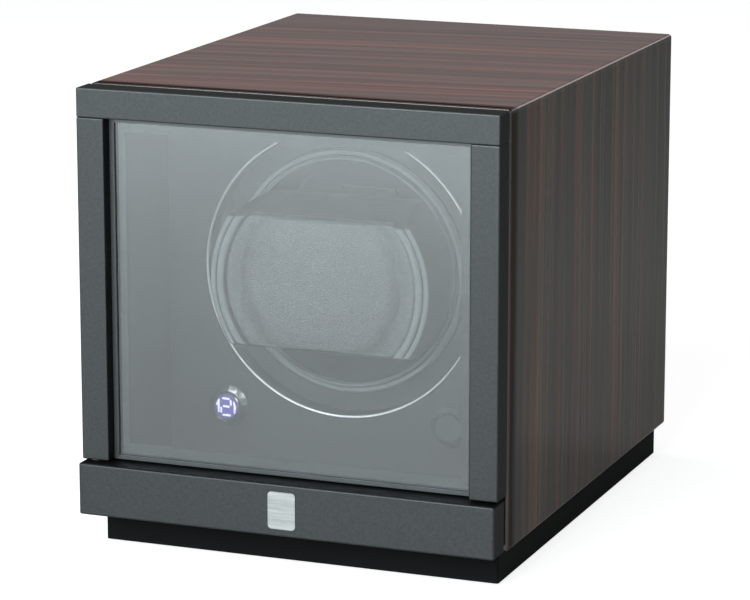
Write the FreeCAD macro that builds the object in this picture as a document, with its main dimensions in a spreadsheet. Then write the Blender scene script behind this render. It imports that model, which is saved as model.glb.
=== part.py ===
"""Watch winder box: a veneered case with a glazed door and one turning watch holder.

X is the width, Y the depth (the door faces -Y) and Z the height.  The origin is the middle of the
footprint on the surface that the box stands on.  All sizes are in millimetres.
"""
import FreeCAD, Part
import math
import os

import Sketcher
from FreeCAD import Placement, Rotation, Vector

doc = FreeCAD.newDocument("watch_winder_box")

# Driving dimensions.  A depth is measured back from the front edge of the case.
DIMENSIONS = {
    # Case
    "case_width": 180,
    "case_height": 177.5,
    "case_depth": 215,
    "board": 10,
    "case_round": 1.5,
    # Plinth and feet
    "plinth_height": 13.5,
    "plinth_side_inset": 4,
    "plinth_back_inset": 2.5,
    "plinth_round": 1,
    "foot_radius": 7,
    "foot_height": 1,
    "foot_inset": 16,
    # Back
    "back_board": 6,
    "back_inset": 3,
    "cleat": 12,
    "screw_radius": 1.5,
    "screw_head_radius": 3.2,
    "screw_head": 2,
    "screw_bite": 9,
    "screw_inset": 22,
    "hole_clearance": 0.1,
    # Fascia
    "fascia_reach": 17,
    "fascia_thickness": 12.6,
    "fascia_height": 21.8,
    "fascia_lift": 1.2,
    "fascia_round": 0.9,
    "spacer_length": 30,
    "spacer_margin": 2,
    "plate_width": 11.8,
    "plate_height": 15.4,
    "plate_thickness": 1,
    "plate_proud": 0.3,
    "plate_round": 1.6,
    # Door
    "door_thickness": 11.5,
    "door_setback": 1.7,
    "door_gap": 0.8,
    "rail_height": 12,
    "stile_width": 12,
    "door_round": 0.6,
    "dowel_radius": 1.2,
    "dowel_length": 6,
    "dowel_inset": 2.6,
    "glass_recess": 5.4,
    "glass_frame_lip": 0.5,
    "glass_frame_side": 2.1,
    "glass_frame_bottom": 1.6,
    "glass_frame_wall": 0.8,
    "glass_thickness": 3.2,
    "glass_play": 0.2,
    "gasket_width": 6.1,
    "gasket_gap": 0.05,
    # Door hinge and catch
    "hinge_inset": 4.5,
    "pivot_radius": 1.5,
    "pivot_play": 0.05,
    "pivot_depth": 6,
    "arm_half_width": 2.2,
    "arm_thickness": 2.5,
    "arm_tail": 15,
    "arm_clearance": 0.3,
    "arm_swing_room": 4.4,
    "washer_radius": 3.2,
    "washer_thickness": 0.6,
    "magnet_radius": 3,
    "magnet_length": 6,
    "magnet_inset": 30,
    "strike_thickness": 1.5,
    "bumper_radius": 2.5,
    "bumper_play": 0.2,
    "bumper_inset": 14,
    # Display chamber
    "chamber_depth": 50,
    "liner": 2,
    "liner_setback": 1.5,
    "baffle": 8,
    "opening_radius": 59.7,
    "ring_width": 1.2,
    "ring_proud": 0.8,
    # Rotor
    "axis_drop": 81.8,
    "disc_radius": 63,
    "disc_thickness": 3,
    "disc_gap": 1.5,
    "cup_bore": 47.3,
    "cup_wall": 2.7,
    "lip_width": 1.2,
    "lip_reach": 5.8,
    "groove_width": 0.6,
    "groove_level": 2,
    "rib_width": 2.5,
    "rib_reach": 4,
    "rim_chamfer": 0.4,
    "cup_floor": 3,
    "hub_radius": 12,
    "hub_length": 12,
    "shaft_radius": 4,
    "shaft_seat": 9,
    "press_play": 0.05,
    "end_play": 0.3,
    # Watch holder
    "holder_front": 23.6,
    "holder_half_height": 31.8,
    "barrel_radius": 76,
    "barrel_middle": 52,
    "roll_radius": 1.6,
    "roll_reach": 45.1,
    "core_radius": 46.6,
    "bead_radius": 1.2,
    "strap_room": 24.7,
    "pad_seat": 28.8,
    "pad_clearance": 0.3,
    "pad_half_height": 27,
    "pad_draw_in": 0.6,
    "bow_half_width": 12,
    "bow_half_height": 31,
    "bow_thickness": 1.2,
    "bow_standoff": 4,
    "bow_rise": 8,
    "bow_stem_half_height": 8,
    "bow_stem_half_width": 6,
    "grip_length": 14,
    "grip_width": 18,
    "grip_recess": 1.2,
    "grip_gap": 0.35,
    # Drive
    "bulkhead_depth": 118,
    "bulkhead": 8,
    "bush_radius": 8,
    "bush_flange_radius": 11,
    "bush_flange": 2,
    "bush_tail": 2,
    "shaft_play": 0.05,
    "retainer_radius": 8,
    "retainer": 3,
    "gear_gap": 0.7,
    "gear_module": 1,
    "gear_teeth": 54,
    "pinion_teeth": 18,
    "gear_width": 6,
    "pinion_overlap": 0.5,
    "gear_backlash": 0.3,
    "gear_hub_radius": 9,
    "gear_web": 3,
    "gear_rim": 4,
    "output_radius": 3,
    "output_seat": 6,
    "output_clearance": 0.4,
    "bracket_gap": 5,
    "bracket": 2,
    "bracket_half_width": 26,
    "bracket_half_height": 17,
    "post_radius": 2.5,
    "post_spread_x": 21,
    "post_spread_z": 12,
    "gearbox_radius": 14,
    "gearbox_length": 18,
    "motor_radius": 12,
    "motor_clearance": 10,
    "motor_cap_radius": 5,
    "motor_cap": 3,
    # Buttons
    "button_inset": 30.4,
    "button_drop": 59.2,
    "button_radius": 6,
    "button_proud": 7,
    "button_round": 0.4,
    "button_clearance": 0.3,
    "button_travel": 1,
    "window_radius": 5.2,
    "window_thickness": 0.6,
    "button_flange_radius": 7.6,
    "button_flange": 1.2,
    "flange_gap": 0.4,
    "switch_half_width": 6,
    "switch_gap": 1.4,
    "switch_length": 10,
    "button_board": 1.6,
    "button_board_margin": 18,
    "button_board_half_height": 7,
    "button_post_radius": 3,
    "button_post_offset": 12,
    # Control board and power inlet
    "control_half_width": 40,
    "control_front_margin": 14,
    "control_back_margin": 11,
    "control_lift": 5,
    "control_board": 1.6,
    "control_post_radius": 3,
    "control_post_inset": 6,
    "chip_side": 14,
    "chip_height": 2.5,
    "capacitor_radius": 5,
    "capacitor_height": 14,
    "header_width": 16,
    "header_depth": 8,
    "header_height": 9,
    "inlet_offset": 48,
    "inlet_height": 24,
    "inlet_radius": 4,
    "inlet_flange_radius": 6,
    "inlet_flange": 1.5,
    "inlet_length": 16,
    "inlet_bore": 2.75,
    "inlet_bore_depth": 9,
    "inlet_pin_radius": 1,
    "inlet_nut_radius": 6.5,
    "inlet_nut": 3,
}

sheet = doc.addObject("Spreadsheet::Sheet", "dims")
for row, (alias, size) in enumerate(DIMENSIONS.items(), start=1):
    sheet.set(f"A{row}", alias)
    sheet.set(f"B{row}", str(size))
    sheet.setAlias(f"B{row}", alias)
doc.recompute()


class Size:
    """A length worked out from the sheet: its text drives expressions, its value drives formulas."""

    def __init__(self, text):
        self.text = str(text)

    def __add__(self, other):
        return Size(f"({self.text} + {Size.of(other).text})")

    def __sub__(self, other):
        return Size(f"({self.text} - {Size.of(other).text})")

    def __mul__(self, other):
        return Size(f"({self.text} * {Size.of(other).text})")

    def __truediv__(self, other):
        return Size(f"({self.text} / {Size.of(other).text})")

    def __neg__(self):
        return Size(f"(0 - {self.text})")

    @staticmethod
    def of(item):
        return item if isinstance(item, Size) else Size(item)

    @property
    def value(self):
        return float(sheet.evalExpression(self.text))


class Dims:
    """The sheet's cells by name."""

    def __getattr__(self, alias):
        return Size(f"dims.{alias}")


d = Dims()
ZERO = Size(0)
nodes = {}


def node(name, solid):
    """Names a finished piece."""
    solid.Label = name
    nodes[name] = solid
    return solid


def place(solid, x, y, z):
    for axis, size in zip("xyz", (x, y, z)):
        solid.setExpression(f"Placement.Base.{axis}", Size.of(size).text)


def block(name, x, y, z):
    """A plain board or bar between two coordinates on each axis."""
    solid = doc.addObject("Part::Box", name)
    for prop, (low, high) in zip(("Length", "Width", "Height"), (x, y, z)):
        solid.setExpression(prop, (Size.of(high) - low).text)
    place(solid, x[0], y[0], z[0])
    return solid


def rounded_block(name, x, y, z, radius, along="xyz"):
    """A bar whose edges along the named axes are rounded."""
    body = doc.addObject("PartDesign::Body", name)
    bar = body.newObject("PartDesign::AdditiveBox", f"{name}_bar")
    for prop, (low, high) in zip(("Length", "Width", "Height"), (x, y, z)):
        bar.setExpression(prop, (Size.of(high) - low).text)
    doc.recompute()
    edges = [
        f"Edge{index}"
        for index, edge in enumerate(bar.Shape.Edges, start=1)
        if any(abs(abs(edge.tangentAt(edge.FirstParameter)["xyz".index(axis)]) - 1) < 1e-6 for axis in along)
    ]
    fillet = body.newObject("PartDesign::Fillet", f"{name}_round")
    fillet.Base = (bar, edges)
    fillet.setExpression("Radius", radius.text)
    body.Tip = fillet
    place(body, x[0], y[0], z[0])
    return body


def rod(name, radius, x, y, z):
    """A cylinder along the one axis whose coordinate is a pair."""
    axis = next(i for i, size in enumerate((x, y, z)) if isinstance(size, tuple))
    turn = (Rotation(Vector(0, 1, 0), 90), Rotation(Vector(1, 0, 0), -90), Rotation())[axis]
    low, high = (x, y, z)[axis]
    solid = doc.addObject("Part::Cylinder", name)
    solid.Placement = Placement(Vector(), turn)
    solid.setExpression("Radius", Size.of(radius).text)
    solid.setExpression("Height", (Size.of(high) - low).text)
    place(solid, *(low if i == axis else size for i, size in enumerate((x, y, z))))
    return solid


def cut(name, base, *tools):
    """The base with every tool taken out of it."""
    solid = base
    for index, tool in enumerate(tools):
        result = doc.addObject("Part::Cut", f"{name}_cut{index}")
        result.Base = solid
        result.Tool = tool
        solid = result
    return solid


def overlap(name, first, second):
    """What two solids have in common."""
    result = doc.addObject("Part::Common", name)
    result.Base = first
    result.Tool = second
    return result


def joined(name, *solids):
    """Solids fused into one piece."""
    result = doc.addObject("Part::MultiFuse", f"{name}_fused")
    result.Shapes = list(solids)
    return result


def grouped(name, solids):
    """Separate like pieces kept together in one node."""
    group = doc.addObject("Part::Compound", f"{name}_set")
    group.Links = list(solids)
    return node(name, group)


def outline(body, name, plane, points):
    """A closed sketch of straight lines whose corners are driven by the sheet."""
    sketch = body.newObject("Sketcher::SketchObject", name)
    support = next(item for item in body.Origin.OriginFeatures if item.Role == plane)
    sketch.AttachmentSupport = [(support, "")]
    sketch.MapMode = "FlatFace"
    corners = [(Size.of(u), Size.of(v)) for u, v in points]
    places = [Vector(u.value, v.value, 0) for u, v in corners]
    count = len(places)
    for i in range(count):
        sketch.addGeometry(Part.LineSegment(places[i], places[(i + 1) % count]), False)
    for i in range(count):
        sketch.addConstraint(Sketcher.Constraint("Coincident", i, 2, (i + 1) % count, 1))
    for i, corner in enumerate(corners):
        for kind, size in zip(("DistanceX", "DistanceY"), corner):
            index = sketch.addConstraint(Sketcher.Constraint(kind, -1, 1, i, 1, size.value))
            sketch.setExpression(f"Constraints[{index}]", size.text)
    return sketch


def turned(name, profile, x, z):
    """A piece turned about an axis along Y; the profile is a list of radius and Y pairs."""
    body = doc.addObject("PartDesign::Body", name)
    sketch = outline(body, f"{name}_profile", "XY_Plane", profile)
    spin = body.newObject("PartDesign::Revolution", f"{name}_turned")
    spin.Profile = sketch
    spin.ReferenceAxis = (sketch, ["V_Axis"])
    spin.Angle = 360
    body.Tip = spin
    place(body, x, ZERO, z)
    return body


def mirrored_pair(size):
    """The same offset to the left and to the right."""
    return (-size, size)


# Levels that the pieces share
half_width = d.case_width / 2
half_inside = half_width - d.board
case_front = (d.fascia_reach + d.plate_proud - d.case_depth) / 2
case_back = case_front + d.case_depth
case_base = d.foot_height + d.plinth_height
case_top = case_base + d.case_height
floor_inside = case_base + d.board
ceiling_inside = case_top - d.board
axis_height = case_top - d.axis_drop
baffle_front = case_front + d.chamber_depth
baffle_back = baffle_front + d.baffle
bulkhead_front = case_front + d.bulkhead_depth
bulkhead_back = bulkhead_front + d.bulkhead
back_face = case_back - d.back_inset
back_front = back_face - d.back_board
fascia_front = case_front - d.fascia_reach
fascia_back = fascia_front + d.fascia_thickness
fascia_base = case_base + d.fascia_lift
fascia_top = fascia_base + d.fascia_height
door_back = case_front - d.door_setback
door_front = door_back - d.door_thickness
door_base = fascia_top + d.door_gap
rail_base = case_top - d.rail_height
hinge_x = d.hinge_inset - half_width
hinge_y = (door_front + door_back) / 2

# Case: four boards mitred at the corners, with one rounding run over all the outer edges
case_block = rounded_block(
    "case_block",
    (-half_width, half_width),
    (case_front, case_back),
    (case_base, case_top),
    d.case_round,
)


def mitred_board(name, corners):
    """One case board: the slice of the case block between two mitre planes."""
    body = doc.addObject("PartDesign::Body", f"{name}_slice")
    sketch = outline(body, f"{name}_mitre", "XZ_Plane", corners)
    pad = body.newObject("PartDesign::Pad", f"{name}_length")
    pad.Profile = sketch
    pad.setExpression("Length", d.case_depth.text)
    pad.Reversed = True
    body.Tip = pad
    place(body, ZERO, case_front, ZERO)
    return overlap(f"{name}_board", case_block, body)


outer_corners = {
    "left_top": (-half_width, case_top),
    "right_top": (half_width, case_top),
    "right_base": (half_width, case_base),
    "left_base": (-half_width, case_base),
}
inner_corners = {
    "left_top": (-half_inside, ceiling_inside),
    "right_top": (half_inside, ceiling_inside),
    "right_base": (half_inside, floor_inside),
    "left_base": (-half_inside, floor_inside),
}


def board_between(name, first, second):
    return mitred_board(
        name,
        [outer_corners[first], outer_corners[second], inner_corners[second], inner_corners[first]],
    )


node("top_panel", board_between("top_panel", "left_top", "right_top"))
node("bottom_panel", board_between("bottom_panel", "right_base", "left_base"))

# Knife hinge at the door's top: an arm let into the left panel, with a pivot pin through its end
arm_base = rail_base + d.arm_clearance
arm_top = arm_base + d.arm_thickness
arm_tail_end = case_front + d.arm_tail
arm_sides = (hinge_x - d.arm_half_width, hinge_x + d.arm_half_width)
arm_bar = block("arm_bar", arm_sides, (hinge_y, arm_tail_end), (arm_base, arm_top))
arm_end = rod("arm_end", d.arm_half_width, hinge_x, hinge_y, (arm_base, arm_top))
arm_pin = rod("arm_pin", d.pivot_radius, hinge_x, hinge_y, (rail_base - d.pivot_depth, arm_top + d.pivot_depth))
node("hinge_arm", joined("hinge_arm", arm_bar, arm_end, arm_pin))

arm_mortise = block("arm_mortise", arm_sides, (case_front, arm_tail_end), (arm_base, arm_top))
node("left_panel", cut("left_panel", board_between("left_panel", "left_base", "left_top"), arm_mortise))

# Catch on the right panel's front edge: two magnets let into it and two soft bumpers on it
catch_x = half_width - d.board / 2
magnet_heights = (door_base + d.magnet_inset, case_top - d.magnet_inset)
bumper_heights = (door_base + d.bumper_inset, case_top - d.bumper_inset)
magnet_bores = [
    rod(f"magnet_bore{i}", d.magnet_radius, catch_x, (case_front, case_front + d.magnet_length), z)
    for i, z in enumerate(magnet_heights)
]
right_board = board_between("right_panel", "right_top", "right_base")
node("right_panel", cut("right_panel", right_board, *magnet_bores))
grouped("door_magnets", [
    rod(f"magnet{i}", d.magnet_radius - d.press_play, catch_x, (case_front, case_front + d.magnet_length), z)
    for i, z in enumerate(magnet_heights)
])
grouped("door_bumpers", [
    rod(f"bumper{i}", d.bumper_radius, catch_x, (door_back + d.bumper_play, case_front), z)
    for i, z in enumerate(bumper_heights)
])

# Plinth and feet
plinth_sides = (d.plinth_side_inset - half_width, half_width - d.plinth_side_inset)
plinth_depth = (case_front, case_back - d.plinth_back_inset)
node("plinth", rounded_block(
    "plinth_board", plinth_sides, plinth_depth, (d.foot_height, case_base), d.plinth_round, along="z"
))
grouped("feet", [
    rod(f"foot{i}", d.foot_radius, x, y, (ZERO, d.foot_height))
    for i, (x, y) in enumerate(
        (x, y)
        for x in (plinth_sides[0] + d.foot_inset, plinth_sides[1] - d.foot_inset)
        for y in (plinth_depth[0] + d.foot_inset, plinth_depth[1] - d.foot_inset)
    )
])

# Back panel, screwed to two cleats; the power inlet passes through it
inside = (-half_inside, half_inside)
inside_height = (floor_inside, ceiling_inside)
inlet_z = floor_inside + d.inlet_height
screw_x = mirrored_pair(half_inside - d.cleat / 2)
screw_z = (floor_inside + d.screw_inset, ceiling_inside - d.screw_inset)
screw_spots = [(x, z) for x in screw_x for z in screw_z]
screw_tip = back_front - d.screw_bite


def screw_holes(name):
    return [
        rod(f"{name}{i}", d.screw_radius + d.hole_clearance, x, (screw_tip, back_face), z)
        for i, (x, z) in enumerate(screw_spots)
    ]


inlet_hole = rod("inlet_hole", d.inlet_radius + d.hole_clearance, d.inlet_offset, (back_front, back_face), inlet_z)
back_blank = block("back_blank", inside, (back_front, back_face), inside_height)
node("back_panel", cut("back_panel", back_blank, inlet_hole, *screw_holes("back_hole")))
cleat_depth = (back_front - d.cleat, back_front)
cleat_blanks = doc.addObject("Part::Compound", "cleat_blanks")
cleat_blanks.Links = [
    block("cleat_left", (-half_inside, d.cleat - half_inside), cleat_depth, inside_height),
    block("cleat_right", (half_inside - d.cleat, half_inside), cleat_depth, inside_height),
]
node("back_cleats", cut("back_cleats", cleat_blanks, *screw_holes("cleat_hole")))
grouped("back_screws", [
    joined(
        f"back_screw{i}",
        rod(f"screw_shank{i}", d.screw_radius, x, (screw_tip, back_face), z),
        rod(f"screw_head{i}", d.screw_head_radius, x, (back_face, back_face + d.screw_head), z),
    )
    for i, (x, z) in enumerate(screw_spots)
])

inlet_front = back_face + d.inlet_flange
inlet_mouth = inlet_front - d.inlet_bore_depth
inlet_end = inlet_front - d.inlet_length
node("power_inlet", turned("inlet_body", [
    (ZERO, inlet_end),
    (d.inlet_radius, inlet_end),
    (d.inlet_radius, back_face),
    (d.inlet_flange_radius, back_face),
    (d.inlet_flange_radius, inlet_front),
    (d.inlet_bore, inlet_front),
    (d.inlet_bore, inlet_mouth),
    (d.inlet_pin_radius, inlet_mouth),
    (d.inlet_pin_radius, inlet_front - d.inlet_flange),
    (ZERO, inlet_front - d.inlet_flange),
], d.inlet_offset, inlet_z))
node("power_inlet_nut", cut(
    "power_inlet_nut",
    rod("nut_blank", d.inlet_nut_radius, d.inlet_offset, (back_front - d.inlet_nut, back_front), inlet_z),
    rod(
        "nut_bore",
        d.inlet_radius + d.hole_clearance,
        d.inlet_offset,
        (back_front - d.inlet_nut, back_front),
        inlet_z,
    ),
))

# Fascia bar across the foot of the door, stood off the case on spacers, with a plain metal plate let in
plate_middle = (fascia_base + fascia_top) / 2
plate_sides = mirrored_pair(d.plate_width / 2)
plate_ends = (plate_middle - d.plate_height / 2, plate_middle + d.plate_height / 2)
plate_back = fascia_front - d.plate_proud + d.plate_thickness


def plate_solid(name):
    return rounded_block(
        name, plate_sides, (fascia_front - d.plate_proud, plate_back), plate_ends, d.plate_round, along="y"
    )


fascia_blank = rounded_block(
    "fascia_blank",
    (-half_width, half_width),
    (fascia_front, fascia_back),
    (fascia_base, fascia_top),
    d.fascia_round,
)
pivot_hole = rod("pivot_hole", d.pivot_radius, hinge_x, hinge_y, (fascia_top - d.pivot_depth, fascia_top))
node("fascia_bar", cut("fascia_bar", fascia_blank, plate_solid("plate_pocket"), pivot_hole))
node("fascia_plate", plate_solid("plate_metal"))
spacer_height = (fascia_base + d.spacer_margin, fascia_top - d.spacer_margin)
spacer_edge = half_width - d.spacer_margin
grouped("fascia_spacers", [
    block("spacer_left", (-spacer_edge, -half_inside), (fascia_back, case_front), spacer_height),
    block("spacer_right", (half_inside, spacer_edge), (fascia_back, case_front), spacer_height),
    block(
        "spacer_middle",
        mirrored_pair(d.spacer_length / 2),
        (fascia_back, case_front),
        (fascia_base + d.spacer_margin, floor_inside),
    ),
])

# Bottom pivot of the door: a pin let into the fascia bar and a washer under the stile
node("pivot_pin", rod(
    "pivot_rod",
    d.pivot_radius - d.pivot_play,
    hinge_x,
    hinge_y,
    (fascia_top - d.pivot_depth, door_base + d.pivot_depth),
))
washer_levels = (fascia_top, fascia_top + d.washer_thickness)
node("pivot_washer", cut(
    "pivot_washer",
    rod("washer_blank", d.washer_radius, hinge_x, hinge_y, washer_levels),
    rod("washer_bore", d.pivot_radius + d.pivot_play, hinge_x, hinge_y, washer_levels),
))

# Door frame: a full-width rail on two stiles, dowelled together
door_depth = (door_front, door_back)
stile_inner = half_width - d.stile_width
dowel_x = mirrored_pair(stile_inner + d.dowel_inset)


def dowels(name, radius):
    return [
        rod(f"{name}{i}", radius, x, hinge_y, (rail_base - d.dowel_length, rail_base + d.dowel_length))
        for i, x in enumerate(dowel_x)
    ]


hinge_slot = block(
    "hinge_slot",
    (-half_width, hinge_x + d.arm_half_width + d.arm_clearance),
    (hinge_y - d.arm_swing_room, door_back),
    (rail_base, arm_top + d.arm_clearance),
)
top_pivot_hole = rod(
    "top_pivot_hole",
    d.pivot_radius + d.pivot_play,
    hinge_x,
    hinge_y,
    (rail_base - d.pivot_depth - d.arm_clearance, arm_top + d.pivot_depth + d.arm_clearance),
)
rail_blank = rounded_block(
    "rail_blank", (-half_width, half_width), door_depth, (rail_base, case_top), d.door_round
)
dowel_holes = dowels("dowel_hole", d.dowel_radius + d.press_play)
node("door_rail", cut("door_rail", rail_blank, hinge_slot, top_pivot_hole, *dowel_holes))
bottom_pivot_hole = rod(
    "bottom_pivot_hole",
    d.pivot_radius,
    hinge_x,
    hinge_y,
    (door_base, door_base + d.pivot_depth + d.door_gap),
)
left_blank = rounded_block(
    "left_stile_blank", (-half_width, -stile_inner), door_depth, (door_base, rail_base), d.door_round
)
node("left_stile", cut("left_stile", left_blank, top_pivot_hole, bottom_pivot_hole, dowel_holes[0]))
right_blank = rounded_block(
    "right_stile_blank", (stile_inner, half_width), door_depth, (door_base, rail_base), d.door_round
)
strike_depth = (door_back - d.strike_thickness, door_back)
strike_pockets = [
    rod(f"strike_pocket{i}", d.magnet_radius, catch_x, strike_depth, z) for i, z in enumerate(magnet_heights)
]
node("right_stile", cut("right_stile", right_blank, dowel_holes[1], *strike_pockets))
grouped("corner_dowels", dowels("dowel", d.dowel_radius))
grouped("strike_plates", [
    rod(f"strike{i}", d.magnet_radius - d.press_play, catch_x, strike_depth, z)
    for i, z in enumerate(magnet_heights)
])

# Glass: a pane in a slim rebated frame, closed from behind by a soft gasket frame
frame_front = door_front + d.glass_recess
rebate_front = frame_front + d.glass_frame_lip
glass_back = rebate_front + d.glass_thickness
frame_opening_x = stile_inner - d.glass_frame_side
frame_opening_z = (door_base + d.glass_frame_bottom, rail_base - d.glass_frame_side)
rebate_x = stile_inner - d.glass_frame_wall
rebate_z = (door_base + d.glass_frame_wall, rail_base - d.glass_frame_wall)
node("glass_frame", cut(
    "glass_frame",
    block("frame_blank", mirrored_pair(stile_inner), (frame_front, glass_back), (door_base, rail_base)),
    block("frame_opening", mirrored_pair(frame_opening_x), (frame_front, rebate_front), frame_opening_z),
    block("frame_rebate", mirrored_pair(rebate_x), (rebate_front, glass_back), rebate_z),
))
node("glass_pane", block(
    "pane",
    mirrored_pair(rebate_x - d.glass_play),
    (rebate_front, glass_back),
    (rebate_z[0] + d.glass_play, rebate_z[1] - d.glass_play),
))
gasket_x = stile_inner - d.gasket_width
gasket_depth = (glass_back + d.gasket_gap, door_back)
node("glass_gasket", cut(
    "glass_gasket",
    block("gasket_blank", mirrored_pair(stile_inner), gasket_depth, (door_base, rail_base)),
    block(
        "gasket_opening",
        mirrored_pair(gasket_x),
        gasket_depth,
        (door_base + d.gasket_width, rail_base - d.gasket_width),
    ),
))

# Lining boards of the display chamber
liner_depth = (case_front + d.liner_setback, baffle_front)
liner_inner = half_inside - d.liner
node("liner_left", block("lining_left", (-half_inside, -liner_inner), liner_depth, inside_height))
node("liner_right", block("lining_right", (liner_inner, half_inside), liner_depth, inside_height))
node("liner_top", block(
    "lining_top", mirrored_pair(liner_inner), liner_depth, (ceiling_inside - d.liner, ceiling_inside)
))
node("liner_bottom", block(
    "lining_bottom", mirrored_pair(liner_inner), liner_depth, (floor_inside, floor_inside + d.liner)
))

# Baffle panel with the rotor's opening and a polished ring round it
button_spread = half_inside - d.button_inset
button_x = mirrored_pair(button_spread)
button_z = axis_height - d.button_drop
button_holes = [
    rod(f"button_hole{i}", d.button_radius + d.button_clearance, x, (baffle_front, baffle_back), button_z)
    for i, x in enumerate(button_x)
]
node("baffle_panel", cut(
    "baffle_panel",
    block("baffle_blank", inside, (baffle_front, baffle_back), inside_height),
    rod("rotor_opening", d.opening_radius, ZERO, (baffle_front, baffle_back), axis_height),
    *button_holes,
))
ring_front = baffle_front - d.ring_proud
ring_outer = d.opening_radius + d.ring_width
ring_chamfer = d.ring_width / 3
node("trim_ring", turned("ring_metal", [
    (d.opening_radius, baffle_front),
    (d.opening_radius, ring_front + ring_chamfer),
    (d.opening_radius + ring_chamfer, ring_front),
    (ring_outer - ring_chamfer, ring_front),
    (ring_outer, ring_front + ring_chamfer),
    (ring_outer, baffle_front),
], ZERO, axis_height))

# Bulkhead and the flanged bush that carries the rotor's shaft
bush_front = bulkhead_front - d.bush_flange
bush_back = bulkhead_back + d.bush_tail
bush_bore = d.shaft_radius + d.shaft_play
node("bulkhead", cut(
    "bulkhead",
    block("bulkhead_blank", inside, (bulkhead_front, bulkhead_back), inside_height),
    rod("bush_seat", d.bush_radius + d.press_play, ZERO, (bulkhead_front, bulkhead_back), axis_height),
))
node("bearing_bush", turned("bush_metal", [
    (bush_bore, bush_front),
    (d.bush_flange_radius, bush_front),
    (d.bush_flange_radius, bulkhead_front),
    (d.bush_radius, bulkhead_front),
    (d.bush_radius, bush_back),
    (bush_bore, bush_back),
], ZERO, axis_height))

# Rotor: a cup on a disc that closes the opening from behind, with a lip and a rib round its mouth
disc_front = baffle_back + d.disc_gap
disc_back = disc_front + d.disc_thickness
lip_front = disc_front - d.lip_reach
lip_outer = d.cup_bore + d.lip_width
groove_floor = disc_front - d.groove_level
rib_front = disc_front - d.rib_reach
rib_inner = lip_outer + d.groove_width
rib_outer = rib_inner + d.rib_width
cup_outer = d.cup_bore + d.cup_wall
hub_back = bush_front - d.end_play
cup_back = hub_back - d.hub_length
cup_bottom = cup_back - d.cup_floor
shaft_front = hub_back - d.shaft_seat
hub_bore = d.shaft_radius + d.press_play
node("rotor_cup", turned("cup_moulding", [
    (ZERO, cup_bottom),
    (d.cup_bore, cup_bottom),
    (d.cup_bore, lip_front + d.rim_chamfer),
    (d.cup_bore + d.rim_chamfer, lip_front),
    (lip_outer - d.rim_chamfer, lip_front),
    (lip_outer, lip_front + d.rim_chamfer),
    (lip_outer, groove_floor),
    (rib_inner, groove_floor),
    (rib_inner, rib_front + d.rim_chamfer),
    (rib_inner + d.rim_chamfer, rib_front),
    (rib_outer - d.rim_chamfer * 2, rib_front),
    (rib_outer, rib_front + d.rim_chamfer * 2),
    (rib_outer, disc_front),
    (d.disc_radius, disc_front),
    (d.disc_radius, disc_back),
    (cup_outer, disc_back),
    (cup_outer, cup_back),
    (d.hub_radius, cup_back),
    (d.hub_radius, hub_back),
    (hub_bore, hub_back),
    (hub_bore, shaft_front),
    (ZERO, shaft_front),
], ZERO, axis_height))

retainer_front = bush_back + d.end_play
retainer_back = retainer_front + d.retainer
gear_front = retainer_back + d.gear_gap
gear_back = gear_front + d.gear_width
shaft_back = gear_back + d.gear_gap
node("rotor_shaft", rod("shaft_rod", d.shaft_radius, ZERO, (shaft_front, shaft_back), axis_height))
node("retaining_collar", turned("retainer_metal", [
    (hub_bore, retainer_front),
    (d.retainer_radius, retainer_front),
    (d.retainer_radius, retainer_back),
    (hub_bore, retainer_back),
], ZERO, axis_height))


# Drive: a moulded spur gear on the rotor's shaft and a pinion on the motor's output
def involute(angle):
    return math.tan(angle) - angle


def gear_profile(teeth, turn):
    """The outline of a 20 degree involute spur gear, one tooth centred on the direction of turn."""
    module = d.gear_module.value
    pressure = math.radians(20)
    pitch = module * teeth / 2
    base = pitch * math.cos(pressure)
    tip = pitch + module
    root = pitch - 1.25 * module
    foot = max(base, root)
    half_tooth = math.pi / (2 * teeth) - d.gear_backlash.value / (4 * pitch)

    def flank_angle(radius):
        return half_tooth + involute(pressure) - involute(math.acos(min(1, base / radius)))

    def point(radius, angle):
        return Vector(radius * math.cos(angle), 0, radius * math.sin(angle))

    def flank(middle, side):
        radii = (foot, (foot + tip) / 2, tip)
        return [point(radius, middle + side * flank_angle(radius)) for radius in radii]

    edges = []
    step = 2 * math.pi / teeth
    for index in range(teeth):
        middle = turn + index * step
        rising = flank(middle, -1)
        falling = flank(middle, 1)[::-1]
        next_foot = point(foot, middle + step - flank_angle(foot))
        floor_start = point(root, middle + flank_angle(foot))
        floor_end = point(root, middle + step - flank_angle(foot))
        edges.append(Part.Arc(*rising).toShape())
        edges.append(Part.makeLine(rising[-1], falling[0]))
        edges.append(Part.Arc(*falling).toShape())
        if base > root:
            edges.append(Part.makeLine(falling[-1], floor_start))
            edges.append(Part.makeLine(floor_start, floor_end))
            edges.append(Part.makeLine(floor_end, next_foot))
        else:
            edges.append(Part.makeLine(falling[-1], next_foot))
    return Part.Face(Part.Wire(edges))


def gear_blank(name, teeth, turn, front, back, x, z):
    """A toothed disc between two depths."""
    solid = doc.addObject("Part::Feature", name)
    solid.Shape = gear_profile(teeth, turn).extrude(Vector(0, (back - front).value, 0))
    place(solid, x, front, z)
    return solid


gear_teeth = int(d.gear_teeth.value)
pinion_teeth = int(d.pinion_teeth.value)
centre_distance = d.gear_module * (d.gear_teeth + d.pinion_teeth) / 2
output_z = axis_height - centre_distance
straight_down = -math.pi / 2
pinion_turn = math.pi / 2 + math.pi / pinion_teeth
gear_solid = gear_blank("gear_solid", gear_teeth, straight_down, gear_front, gear_back, ZERO, axis_height)
gear_bore = rod("gear_bore", hub_bore, ZERO, (gear_front, gear_back), axis_height)
gear_root = d.gear_module * (d.gear_teeth / 2 - 1.25)
web_inset = (d.gear_width - d.gear_web) / 2


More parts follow.
